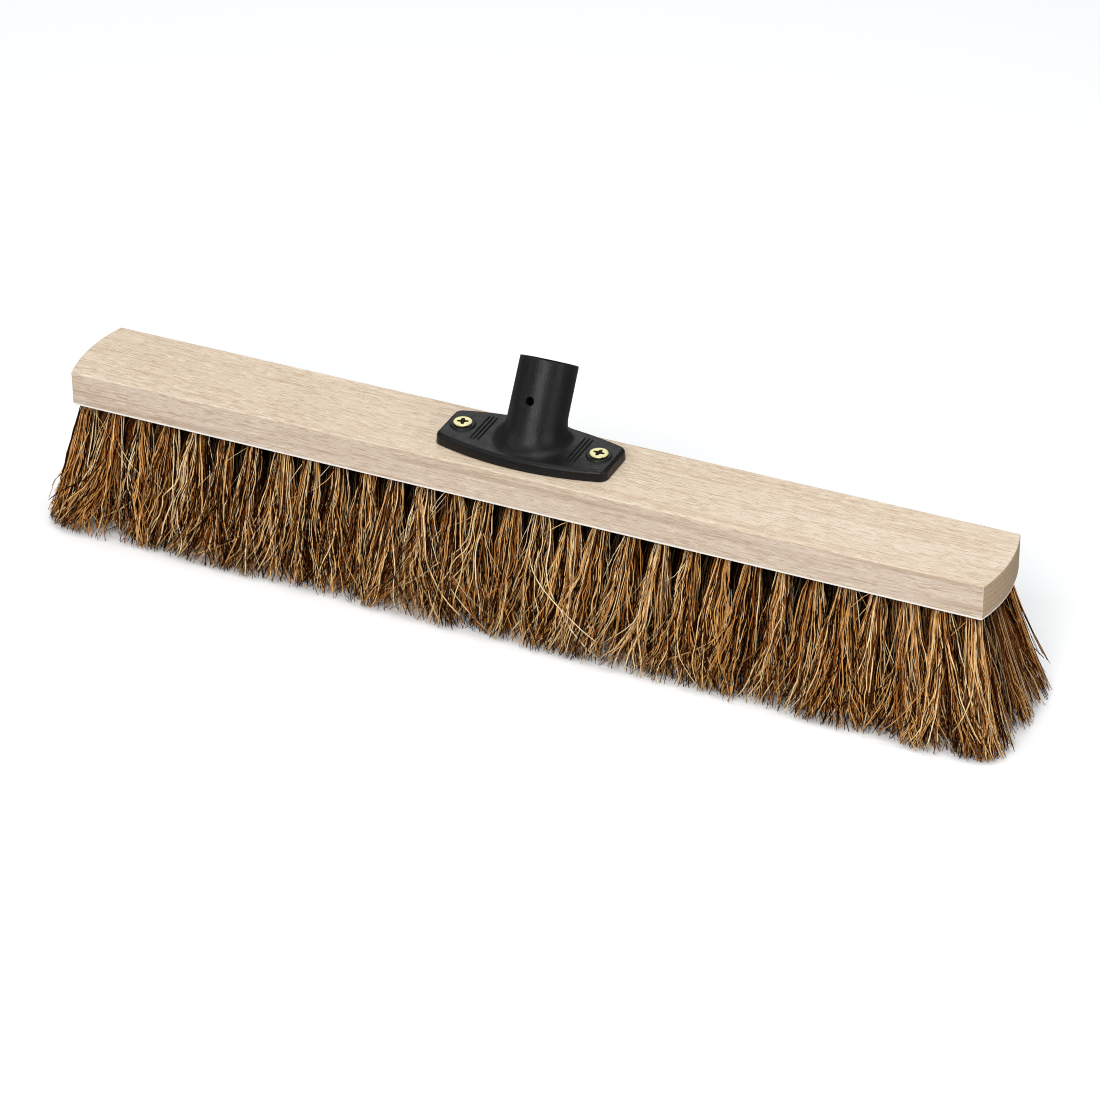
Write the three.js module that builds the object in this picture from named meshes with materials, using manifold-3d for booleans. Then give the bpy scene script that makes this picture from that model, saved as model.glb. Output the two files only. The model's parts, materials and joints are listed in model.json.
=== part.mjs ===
// Push broom head: beech block, moulded handle socket, two wood screws and five rows of coir tufts.
// Millimetres. Origin on the sweeping plane (bristle tips) under the middle of the block.
// +X runs along the block, +Y is the side the handle leans to, +Z is up.
import * as THREE from 'three';
import { mergeVertices } from 'three/addons/utils/BufferGeometryUtils.js';
import Module from 'manifold-3d';

// ---- shared dimensions ---------------------------------------------------
const BLOCK_THICKNESS = 19.2;
const BRISTLE_LENGTH = 67;          // free length below the block
const Z_UNDER = BRISTLE_LENGTH;     // underside of the block
const Z_TOP = Z_UNDER + BLOCK_THICKNESS;

const ROW_COUNT = 5;
const ROW_PITCH = 9.5;              // between rows, at the block
const TUFT_PITCH = 16;              // along a row
const TUFTS_LONG_ROW = 31;          // rows 1, 3 and 5
const TUFTS_SHORT_ROW = 30;         // rows 2 and 4, staggered by half a pitch

const SCREW_X = 37;
const SCREW_PLACES = [-SCREW_X, SCREW_X];
const SCREW_LENGTH = 16;
const SCREW_SHANK_RADIUS = 1.75;
const SCREW_HEAD_RADIUS = 4.7;
const SCREW_HEAD_TOP = 7.9;         // this and the next three are above the block's top face
const SCREW_RIM = SCREW_HEAD_TOP - 0.6;     // underside of the head's rim
const SCREW_CONE_FOOT = SCREW_RIM - (SCREW_HEAD_RADIUS - SCREW_SHANK_RADIUS);  // 45 degree head
const SCREW_TIP = SCREW_HEAD_TOP - SCREW_LENGTH;

// ---- finishes ------------------------------------------------------------
const BEECH = { color: 0xe2cfb4, roughness: 0.62, metalness: 0 };
const MOULDING = { color: 0x2b2c2e, roughness: 0.45, metalness: 0 };
const ZINC = { color: 0xd9cf8f, roughness: 0.3, metalness: 0.9 };
const COIR_SHADES = [0x8a5a28, 0x94622c, 0x7f5224]
  .map((color) => ({ color, roughness: 0.9, metalness: 0 }));

// ---- solids --------------------------------------------------------------
const wasm = await Module();
wasm.setup();

// A closed three.js geometry as a solid: seams welded, slivers dropped, faces turned outwards.
function solid(geometry) {
  geometry.deleteAttribute('normal');
  geometry.deleteAttribute('uv');
  const welded = mergeVertices(geometry, 1e-4);
  const points = welded.attributes.position.array;
  const corners = welded.index.array;
  const triangles = [];
  let volume = 0;
  for (let i = 0; i < corners.length; i += 3) {
    const [a, b, c] = corners.slice(i, i + 3);
    if (a === b || b === c || a === c) continue;
    triangles.push([a, b, c]);
    const [first, second, third] = [a, b, c]
      .map((corner) => new THREE.Vector3().fromArray(points, 3 * corner));
    volume += first.dot(second.cross(third));
  }
  const outward = volume < 0 ? triangles.map(([a, b, c]) => [b, a, c]) : triangles;
  return new wasm.Manifold(new wasm.Mesh({
    numProp: 3,
    vertProperties: new Float32Array(points),
    triVerts: new Uint32Array(outward.flat()),
  }));
}

function part(name, body, finish) {
  const { vertProperties, triVerts } = body.getMesh();
  const geometry = new THREE.BufferGeometry();
  geometry.setAttribute('position', new THREE.BufferAttribute(new Float32Array(vertProperties), 3));
  geometry.setIndex(new THREE.BufferAttribute(new Uint32Array(triVerts), 1));
  geometry.computeVertexNormals();
  const mesh = new THREE.Mesh(geometry, new THREE.MeshStandardMaterial(finish));
  mesh.name = name;
  return mesh;
}

// An upright cylinder or cone between two heights.
function upright(radiusLow, radiusHigh, low, high, x, y, sides) {
  return solid(new THREE.CylinderGeometry(radiusHigh, radiusLow, high - low, sides)
    .rotateX(Math.PI / 2)
    .translate(x, y, (low + high) / 2));
}

// Radius of the arc that rises by `rise` over the middle of its chord.
const bowRadius = (halfChord, rise) => (halfChord * halfChord + rise * rise) / (2 * rise);

// ---- tuft layout -----------------------------------------------------------
function tuftPlaces(row) {
  const count = row % 2 === 0 ? TUFTS_LONG_ROW : TUFTS_SHORT_ROW;
  return Array.from({ length: count }, (_, i) => (i - (count - 1) / 2) * TUFT_PITCH);
}
const rowY = (row) => (row - (ROW_COUNT - 1) / 2) * ROW_PITCH;

// ---- beech block -----------------------------------------------------------
const BLOCK_LENGTH = 500;
const BLOCK_WIDTH = 51.6;
const BLOCK_END_BOW = 3.9;          // how far each end bulges out at its middle
const BLOCK_EDGE = 1.2;             // rounding of the top and bottom edges
const TUFT_HOLE_RADIUS = 4.5;
const TUFT_HOLE_DEPTH = 10;
const PILOT_CLEARANCE = 0.3;        // around and below a screw
const CUT_PAST = 2;                 // how far hole cutters run out of the block

function blockOutline() {
  const halfLength = BLOCK_LENGTH / 2;
  const halfWidth = BLOCK_WIDTH / 2;
  const radius = bowRadius(halfWidth, BLOCK_END_BOW);
  const reach = Math.asin(halfWidth / radius);
  const shape = new THREE.Shape();
  shape.absarc(halfLength - radius, 0, radius, -reach, reach, false);
  shape.absarc(radius - halfLength, 0, radius, Math.PI - reach, Math.PI + reach, false);
  shape.closePath();
  return shape;
}

function beechBlock() {
  let block = solid(new THREE.ExtrudeGeometry(blockOutline(), {
    depth: BLOCK_THICKNESS - 2 * BLOCK_EDGE,
    curveSegments: 10,
    bevelEnabled: true,
    bevelThickness: BLOCK_EDGE,
    bevelSize: BLOCK_EDGE,
    bevelOffset: -BLOCK_EDGE,
    bevelSegments: 2,
  }).translate(0, 0, Z_UNDER + BLOCK_EDGE));
  for (let row = 0; row < ROW_COUNT; row++) {
    for (const x of tuftPlaces(row)) {
      block = block.subtract(upright(TUFT_HOLE_RADIUS, TUFT_HOLE_RADIUS,
        Z_UNDER - CUT_PAST, Z_UNDER + TUFT_HOLE_DEPTH, x, rowY(row), 6));
    }
  }
  const pilotRadius = SCREW_SHANK_RADIUS + PILOT_CLEARANCE;
  const pilotFloor = Z_TOP + SCREW_TIP - PILOT_CLEARANCE;
  for (const x of SCREW_PLACES) {
    block = block.subtract(
      upright(pilotRadius, pilotRadius, pilotFloor, Z_TOP + CUT_PAST, x, 0, 12));
  }
  return block;
}

// ---- handle socket ---------------------------------------------------------
const PLATE_HALF_LENGTH = 46.5;
const PLATE_HALF_WIDTH = 20.5;      // at the middle
const PLATE_END_HALF_WIDTH = 13.2;  // at the corners
const PLATE_CORNER = 5;
const PLATE_THICKNESS = 6;
const PLATE_EDGE = 1.8;
const PLATE_SURPLUS = 6;            // extra depth, trimmed off so the underside has no rounding
const PLATE_TOP = Z_TOP + PLATE_THICKNESS;
const SEAT_GAP = 0.05;              // plate underside above the block
const TRIM_BOX = { length: 200, width: 120, height: 120 };  // holds all that lies above the seat

// Heights of the tube, foot, bore and cross hole run along the handle's axis from the block's top.
const TUBE_TILT = THREE.MathUtils.degToRad(30.5);   // from vertical, towards +Y
const TUBE_RADIUS = 14.75;
const TUBE_ROOT_RADIUS = 15.0;
const TUBE_ROOT = -16;              // start of the tube, before trimming
const TUBE_LENGTH = 45.3;           // up to the rim
const FOOT_CONES = [                // radius low, radius high, low, high
  [21.5, 17.6, 3, 6],
  [17.65, 15.9, 5.95, 9.5],
  [15.95, 15.0, 9.45, 14],
];
const FOOT_ZONE_HEIGHT = 30;
const BORE_RADIUS = 12.1;           // takes a 24 mm handle
const BORE_FLOOR = 10.5;
const BORE_CUT_PAST = 5;
const MOUTH_CHAMFER = 0.6;          // 45 degrees, at the rim
const MOUTH_CUT_PAST = 0.8;
const CROSS_HOLE_RADIUS = 2.0;
const CROSS_HOLE_AT = 24;
const CROSS_CUTTER_LENGTH = 12;     // pierces one wall only

const COLLAR_RADIUS = 6.4;
const COLLAR_FLARE = 0.2;           // wider at the collar's foot
const COLLAR_HEIGHT = 0.7;
const COLLAR_SUNK = 1;              // reach into the plate
const SCREW_CLEARANCE = 0.35;
const SINK_CUT_PAST = 2;            // countersink cone continued beyond the screw head
const SHANK_CUT_PAST = 1;

// A cylinder or cone about the handle's axis, as a solid.
function alongHandle(radiusLow, radiusHigh, low, high) {
  const sides = 32;
  return solid(new THREE.CylinderGeometry(radiusHigh, radiusLow, high - low, sides)
    .rotateX(Math.PI / 2)
    .rotateZ(Math.PI / sides)
    .translate(0, 0, (low + high) / 2)
    .rotateX(-TUBE_TILT)
    .translate(0, 0, Z_TOP));
}

// Barrel outline: bowed long sides, straight ends, rounded corners.
function plateOutline(inset = 0) {
  const halfLength = PLATE_HALF_LENGTH - inset;
  const halfWidth = PLATE_HALF_WIDTH - inset;
  const bow = bowRadius(halfLength, PLATE_HALF_WIDTH - PLATE_END_HALF_WIDTH);
  const bowY = halfWidth - bow;     // centre of the +Y side's arc
  const corner = PLATE_CORNER;
  // Each corner's centre is one radius in from the end and touches the bow from inside.
  const cornerX = halfLength - corner;
  const cornerY = bowY + Math.sqrt((bow - corner) ** 2 - cornerX ** 2);
  const turn = Math.atan2(cornerX, cornerY - bowY);   // angle from +Y where bow and corner meet
  const { PI } = Math;
  const shape = new THREE.Shape();
  shape.absarc(0, bowY, bow, PI / 2 - turn, PI / 2 + turn, false);
  shape.absarc(-cornerX, cornerY, corner, PI / 2 + turn, PI, false);
  shape.absarc(-cornerX, -cornerY, corner, PI, 1.5 * PI - turn, false);
  shape.absarc(0, -bowY, bow, 1.5 * PI - turn, 1.5 * PI + turn, false);
  shape.absarc(cornerX, -cornerY, corner, 1.5 * PI + turn, 2 * PI, false);
  shape.absarc(cornerX, cornerY, corner, 0, PI / 2 - turn, false);
  shape.closePath();
  return shape;
}

function plate() {
  return solid(new THREE.ExtrudeGeometry(plateOutline(), {
    depth: PLATE_THICKNESS - 2 * PLATE_EDGE + PLATE_SURPLUS,
    curveSegments: 10,
    bevelEnabled: true,
    bevelThickness: PLATE_EDGE,
    bevelSize: PLATE_EDGE,
    bevelOffset: -PLATE_EDGE,
    bevelSegments: 3,
  }).translate(0, 0, Z_TOP - PLATE_SURPLUS + PLATE_EDGE));
}

// Concave foot around the tube, kept inside the plate's outline.
function tubeFoot() {
  const zone = solid(new THREE.ExtrudeGeometry(plateOutline(PLATE_EDGE), {
    depth: FOOT_ZONE_HEIGHT,
    curveSegments: 10,
    bevelEnabled: false,
  }).translate(0, 0, Z_TOP));
  return FOOT_CONES
    .map((cone) => alongHandle(...cone))
    .reduce((foot, cone) => foot.add(cone))
    .intersect(zone);
}

// Everything above the plate's underside.
function aboveSeat() {
  const { length, width, height } = TRIM_BOX;
  return solid(new THREE.BoxGeometry(length, width, height)
    .translate(0, 0, Z_TOP + SEAT_GAP + height / 2));
}

// Hole for the handle's retaining screw, through the tube's -Y wall.
function crossHole() {
  return solid(new THREE.CylinderGeometry(
    CROSS_HOLE_RADIUS, CROSS_HOLE_RADIUS, CROSS_CUTTER_LENGTH, 16)
    .translate(0, -TUBE_RADIUS, CROSS_HOLE_AT)
    .rotateX(-TUBE_TILT)
    .translate(0, 0, Z_TOP));
}

function handleSocket() {
  const collarTop = PLATE_TOP + COLLAR_HEIGHT;
  let socket = plate()
    .add(alongHandle(TUBE_ROOT_RADIUS, TUBE_RADIUS, TUBE_ROOT, TUBE_LENGTH))
    .add(tubeFoot());
  for (const x of SCREW_PLACES) {
    socket = socket.add(upright(COLLAR_RADIUS + COLLAR_FLARE, COLLAR_RADIUS,
      PLATE_TOP - COLLAR_SUNK, collarTop, x, 0, 24));
  }
  socket = socket
    .intersect(aboveSeat())
    .subtract(alongHandle(BORE_RADIUS, BORE_RADIUS, BORE_FLOOR, TUBE_LENGTH + BORE_CUT_PAST))
    .subtract(alongHandle(
      BORE_RADIUS - MOUTH_CHAMFER, BORE_RADIUS + MOUTH_CHAMFER + MOUTH_CUT_PAST,
      TUBE_LENGTH - 2 * MOUTH_CHAMFER, TUBE_LENGTH + MOUTH_CUT_PAST))
    .subtract(crossHole());
  const shankHole = SCREW_SHANK_RADIUS + SCREW_CLEARANCE;
  const sinkRadius = SCREW_HEAD_RADIUS + SCREW_CLEARANCE + SINK_CUT_PAST;
  for (const x of SCREW_PLACES) {
    socket = socket
      .subtract(upright(shankHole, shankHole,
        Z_TOP - SHANK_CUT_PAST, collarTop + SHANK_CUT_PAST, x, 0, 20))
      .subtract(upright(shankHole, sinkRadius,
        Z_TOP + SCREW_CONE_FOOT, Z_TOP + SCREW_RIM + SINK_CUT_PAST, x, 0, 20));
  }
  return socket;
}

// ---- plate screws ----------------------------------------------------------
const SCREW_PROFILE = [             // radius, height above the block's top face
  [0, SCREW_TIP],
  [SCREW_SHANK_RADIUS * 0.35, SCREW_TIP + 0.5],
  [SCREW_SHANK_RADIUS, SCREW_TIP + 3.2],
  [SCREW_SHANK_RADIUS, SCREW_CONE_FOOT],
  [SCREW_HEAD_RADIUS, SCREW_RIM],
  [SCREW_HEAD_RADIUS, SCREW_HEAD_TOP - 0.15],
  [SCREW_HEAD_RADIUS - 0.25, SCREW_HEAD_TOP],
  [0, SCREW_HEAD_TOP],
];
// One arm of the cross recess: a four-sided cone flattened to `flatness` of its width.
const RECESS = { radiusHigh: 2.6, radiusLow: 1.3, height: 2.4, flatness: 0.22, middleDepth: 1 };

// `turn` is the angle of the cross recess about the screw's axis.
function screw(x, turn) {
  const profile = SCREW_PROFILE.map(([radius, z]) => new THREE.Vector2(radius, z));
  let body = solid(new THREE.LatheGeometry(profile, 20).rotateX(Math.PI / 2));
  for (const quarter of [0, Math.PI / 2]) {
    const arm = new THREE.CylinderGeometry(RECESS.radiusHigh, RECESS.radiusLow, RECESS.height, 4)
      .rotateY(Math.PI / 4)
      .scale(1, 1, RECESS.flatness)
      .rotateX(Math.PI / 2)
      .rotateZ(quarter + turn)
      .translate(0, 0, SCREW_HEAD_TOP - RECESS.middleDepth);
    body = body.subtract(solid(arm));
  }
  return body.translate([x, 0, Z_TOP]);
}

// ---- bristle tufts ---------------------------------------------------------
const TUFTS_PER_CLUMP = 3;          // three neighbouring tufts, whose fibres mingle, are one solid
const STEM_HALF = 3.0;              // half width of a tuft where it leaves its hole
const STEM_DEPTH = 1;               // tufts spread and lean only below this depth
const TUFT_ROOT_DEPTH = 2.5;        // how far the solid of a tuft reaches into its hole
const ROW_SPREAD = 1.83;            // row pitch at the tips over row pitch at the block
const END_FAN = 18;                 // outward lean at the tip of the middle row's last tuft
const OUTER_ROW_FAN = 0.72;         // share of the lean in rows 1 and 5
const FAN_START = 176;              // distance from the middle where the lean begins
const FAN_RUN = (TUFTS_LONG_ROW - 1) / 2 * TUFT_PITCH - FAN_START;
const HALF_ROW_GAP = 0.45;          // half the gap between two rows of bristle
const HALF_CLUMP_GAP = 0.25;        // half the gap between two clumps of one row
const TUFT_OVERLAP = 0.5;           // how far a tuft passes midway to the next in its clump

// Rings of a tuft from the root down: depth below the block, half length of the flat sides as a
// share of the reach, and the reach beyond the last tuft of a row. Stem rings have a fixed size.
const TUFT_RINGS = [
  { depth: -TUFT_ROOT_DEPTH, square: 0.5 },
  { depth: STEM_DEPTH, square: 0.5 },
  { depth: 34, square: 0.7, endReach: 6.6 },
  { depth: BRISTLE_LENGTH, square: 0.86, endReach: 8.4 },
];

// 0 down to the stem's end, 1 at the tips.
const spreadShare = (depth) => Math.max(0, depth - STEM_DEPTH) / (BRISTLE_LENGTH - STEM_DEPTH);
const rowScale = (depth) => 1 + (ROW_SPREAD - 1) * spreadShare(depth);

function tuftX(row, x, depth) {
  const fan = Math.max(0, (Math.abs(x) - FAN_START) / FAN_RUN);
  const outer = row === 0 || row === ROW_COUNT - 1;
  const lean = END_FAN * (outer ? OUTER_ROW_FAN : 1) * fan * fan * Math.sign(x);
  return x + lean * spreadShare(depth);
}

// `first` and `last` mark the tufts at the ends of a clump.
function tuftRing({ depth, square, endReach }, row, places, i, first, last) {
  const x = tuftX(row, places[i], depth);
  const ring = { x, y: rowY(row) * rowScale(depth), z: Z_UNDER - depth, square };
  if (depth <= STEM_DEPTH) return { ...ring, left: STEM_HALF, right: STEM_HALF, thick: STEM_HALF };
  const reach = (neighbour, atClumpEnd) => {
    if (neighbour < 0 || neighbour >= places.length) return endReach;
    const half = Math.abs(tuftX(row, places[neighbour], depth) - x) / 2;
    return atClumpEnd ? half - HALF_CLUMP_GAP : half + TUFT_OVERLAP;
  };
  return {
    ...ring,
    left: reach(i - 1, first),
    right: reach(i + 1, last),
    thick: ROW_PITCH * rowScale(depth) / 2 - HALF_ROW_GAP,
  };
}

// A six-sided prism with one ring of vertices per station, shaped ring by ring.
function tuft(row, places, i, first, last) {
  const rings = TUFT_RINGS.map((station) => tuftRing(station, row, places, i, first, last));
  const steps = rings.length - 1;
  const prism = new THREE.CylinderGeometry(1, 1, 1, 6, steps);
  const points = prism.attributes.position;
  for (let k = 0; k < points.count; k++) {
    const [x, y, z] = [points.getX(k), points.getY(k), points.getZ(k)];
    const { square, ...ring } = rings[Math.round((0.5 - y) * steps)];
    // share of the reach along X and of the thickness along Y, every 60 degrees
    const hexagon = [[1, 0], [square, 1], [-square, 1], [-1, 0], [-square, -1], [square, -1]];
    const sixth = (Math.round(Math.atan2(x, z) / (Math.PI / 3)) + 6) % 6;
    const capCentre = Math.hypot(x, z) < 1e-6;
    const [along, across] = capCentre ? [0, 0] : hexagon[sixth];
    const reach = along < 0 ? ring.left : ring.right;
    points.setXYZ(k, ring.x + along * reach, ring.y + across * ring.thick, ring.z);
  }
  return solid(prism);
}

function tuftRow(row) {
  const places = tuftPlaces(row);
  // a long row starts and ends with a shorter clump, so that both halves match
  const clumps = Math.ceil(places.length / TUFTS_PER_CLUMP);
  const missing = (clumps * TUFTS_PER_CLUMP - places.length) / 2;
  const group = new THREE.Group();
  for (let c = 0; c < clumps; c++) {
    const start = Math.max(0, c * TUFTS_PER_CLUMP - missing);
    const end = Math.min(places.length, (c + 1) * TUFTS_PER_CLUMP - missing) - 1;
    let clump = tuft(row, places, start, true, start === end);
    for (let i = start + 1; i <= end; i++) {
      clump = clump.add(tuft(row, places, i, false, i === end));
    }
    const name = `row${row + 1}_tufts_${String(c + 1).padStart(2, '0')}`;
    group.add(part(name, clump, COIR_SHADES[(row + c) % COIR_SHADES.length]));
  }
  return group;
}

// ---- assembly --------------------------------------------------------------
const broom = new THREE.Group();
broom.add(part('beech_block', beechBlock(), BEECH));
broom.add(part('handle_socket', handleSocket(), MOULDING));
broom.add(part('plate_screw_left', screw(-SCREW_X, 0.35), ZINC));
broom.add(part('plate_screw_right', screw(SCREW_X, -0.05), ZINC));
for (let row = 0; row < ROW_COUNT; row++) broom.add(tuftRow(row));

export default broom;
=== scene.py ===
import json
import math
from types import SimpleNamespace

import bmesh
import bpy
import numpy as np
from mathutils import Matrix, Vector


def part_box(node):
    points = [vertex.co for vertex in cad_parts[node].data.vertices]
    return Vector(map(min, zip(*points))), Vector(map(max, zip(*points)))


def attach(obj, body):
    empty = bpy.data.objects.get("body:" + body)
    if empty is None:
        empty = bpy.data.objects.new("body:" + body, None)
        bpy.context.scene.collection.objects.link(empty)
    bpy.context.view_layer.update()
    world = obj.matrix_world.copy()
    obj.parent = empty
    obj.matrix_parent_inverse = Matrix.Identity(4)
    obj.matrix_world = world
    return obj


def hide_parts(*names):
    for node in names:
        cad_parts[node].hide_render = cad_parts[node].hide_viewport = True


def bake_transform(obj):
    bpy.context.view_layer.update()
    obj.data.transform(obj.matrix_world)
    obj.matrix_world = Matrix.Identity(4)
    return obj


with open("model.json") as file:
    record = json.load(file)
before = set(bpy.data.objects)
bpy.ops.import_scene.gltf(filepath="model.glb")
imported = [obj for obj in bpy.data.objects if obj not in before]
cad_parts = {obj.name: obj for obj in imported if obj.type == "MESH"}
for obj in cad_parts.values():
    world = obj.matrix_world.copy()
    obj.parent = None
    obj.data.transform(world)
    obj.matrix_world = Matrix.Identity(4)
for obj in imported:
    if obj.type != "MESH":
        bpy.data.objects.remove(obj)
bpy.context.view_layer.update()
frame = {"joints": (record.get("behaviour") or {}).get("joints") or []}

MM = 0.001
X_AXIS, Z_AXIS = Vector((1, 0, 0)), Vector((0, 0, 1))

# block
block_low, block_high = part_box("beech_block")
Z_UNDER, Z_TOP = block_low.z, block_high.z
BLOCK_LENGTH = block_high.x - block_low.x
BLOCK_WIDTH = block_high.y - block_low.y
END_BOW = 3.9 * MM                      # how far each end bulges in plan

# tufts
ROWS = 5
joints = {joint["name"]: joint for joint in frame["joints"]}
ROW_Y = [joints[f"row{row + 1}_flex"]["pos_m"][1] for row in range(ROWS)]
PITCH = 16 * MM
HOLE_RADIUS, HOLE_DEPTH = 4.3, 10.0     # in mm

# handle socket
TILT = math.radians(30.5)
ALONG = Vector((0, math.sin(TILT), math.cos(TILT)))     # up the tube's axis
ACROSS = Vector((0, -math.cos(TILT), math.sin(TILT)))   # across it, towards the front
TUBE_FOOT = Vector((0, 0, Z_TOP))
TUBE_LENGTH = 45.3 * MM
PLATE_THICKNESS = 6 * MM
PLATE_TOP = Z_TOP + PLATE_THICKNESS

# screws
SCREW_PLACES = (-37 * MM, 37 * MM)
SCREW_RIM = 7.3                         # foot of the head's upright edge above the block, in mm
SCREW_TOP = 7.9                         # top of the head above the block, in mm
screw_low, screw_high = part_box("plate_screw_right")
FRAME_HEAD_TOP = screw_high.z
FRAME_SCREW_X = (screw_low.x + screw_high.x) / 2


# ---------------------------------------------------------------- mesh helpers
def link_object(name, data):
    ob = bpy.data.objects.new(name, data)
    bpy.context.scene.collection.objects.link(ob)
    return ob


def shade_smooth(mesh):
    mesh.polygons.foreach_set("use_smooth", np.ones(len(mesh.polygons), bool))


def new_object(name, verts, faces):
    mesh = bpy.data.meshes.new(name)
    mesh.from_pydata([tuple(v) for v in verts], [], [tuple(f) for f in faces])
    mesh.validate()
    shade_smooth(mesh)
    return link_object(name, mesh)


def from_bmesh(name, bm):
    mesh = bpy.data.meshes.new(name)
    bmesh.ops.recalc_face_normals(bm, faces=bm.faces)
    bm.to_mesh(mesh)
    bm.free()
    shade_smooth(mesh)
    return link_object(name, mesh)


def apply_modifiers(ob):
    bpy.context.view_layer.update()
    depsgraph = bpy.context.evaluated_depsgraph_get()
    mesh = bpy.data.meshes.new_from_object(
        ob.evaluated_get(depsgraph), preserve_all_data_layers=True, depsgraph=depsgraph)
    old = ob.data
    ob.modifiers.clear()
    ob.data = mesh
    bpy.data.meshes.remove(old)


def boolean(ob, action, parts):
    """Cuts the parts out of the object, or adds them to it."""
    tool = new_object(action, *join_parts(parts))
    modifier = ob.modifiers.new("bool", "BOOLEAN")
    modifier.operation = {"cut": "DIFFERENCE", "add": "UNION"}[action]
    modifier.object = tool
    modifier.solver = "EXACT"
    apply_modifiers(ob)
    bpy.data.objects.remove(tool)


def join_parts(parts):
    verts, faces = [], []
    for part_verts, part_faces in parts:
        offset = len(verts)
        verts += part_verts
        faces += [tuple(i + offset for i in face) for face in part_faces]
    return verts, faces


def bridge(rings):
    """Quads through rings of equal length, with a fan over each end."""
    count = len(rings[0])
    verts = [point for ring in rings for point in ring]
    faces = []
    for k in range(len(rings) - 1):
        low, high = k * count, (k + 1) * count
        for i in range(count):
            j = (i + 1) % count
            faces.append((low + i, low + j, high + j, high + i))
    for base, is_last in ((0, False), ((len(rings) - 1) * count, True)):
        centre = len(verts)
        verts.append(sum(verts[base:base + count], Vector()) / count)
        for i in range(count):
            a, b = base + i, base + (i + 1) % count
            faces.append((a, b, centre) if is_last else (b, a, centre))
    return verts, faces


def lathe(profile, segments, origin, axis=Z_AXIS):
    """Closed solid of revolution. The profile holds (radius, height) in mm, and starts and
    ends on the axis."""
    side = axis.cross(X_AXIS)
    verts, faces, rings = [], [], []
    for radius, height in profile:
        base = origin + axis * (height * MM)
        if radius == 0:
            rings.append([len(verts)])
            verts.append(base)
            continue
        rings.append(list(range(len(verts), len(verts) + segments)))
        for i in range(segments):
            a = 2 * math.pi * i / segments
            verts.append(base + X_AXIS * (radius * MM * math.cos(a))
                         + side * (radius * MM * math.sin(a)))
    for low, high in zip(rings, rings[1:]):
        for i in range(segments):
            j = (i + 1) % segments
            if len(low) == 1:
                faces.append((low[0], high[j], high[i]))
            elif len(high) == 1:
                faces.append((low[i], low[j], high[0]))
            else:
                faces.append((low[i], low[j], high[j], high[i]))
    return verts, faces


def smoothstep(start, end, x):
    t = np.clip((x - start) / (end - start), 0, 1)
    return t * t * (3 - 2 * t)


def finish_piece(ob, coat, piece, sharp_angle):
    """Shading, material and frame notes of a rigid piece."""
    shade_smooth(ob.data)
    ob.data.set_sharp_from_angle(angle=math.radians(sharp_angle))
    weighted = ob.modifiers.new("weighted", "WEIGHTED_NORMAL")
    weighted.keep_sharp = True
    weighted.weight = 60
    apply_modifiers(ob)
    ob.data.materials.clear()
    ob.data.materials.append(coat)
    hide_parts(piece)
    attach(ob, "brush_head")


# ---------------------------------------------------------------- shader helpers
def srgb(red, green, blue):
    """Linear colour from 0-255 sRGB."""
    def linear(channel):
        channel /= 255
        return channel / 12.92 if channel <= 0.04045 else ((channel + 0.055) / 1.055) ** 2.4
    return (linear(red), linear(green), linear(blue))


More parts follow.
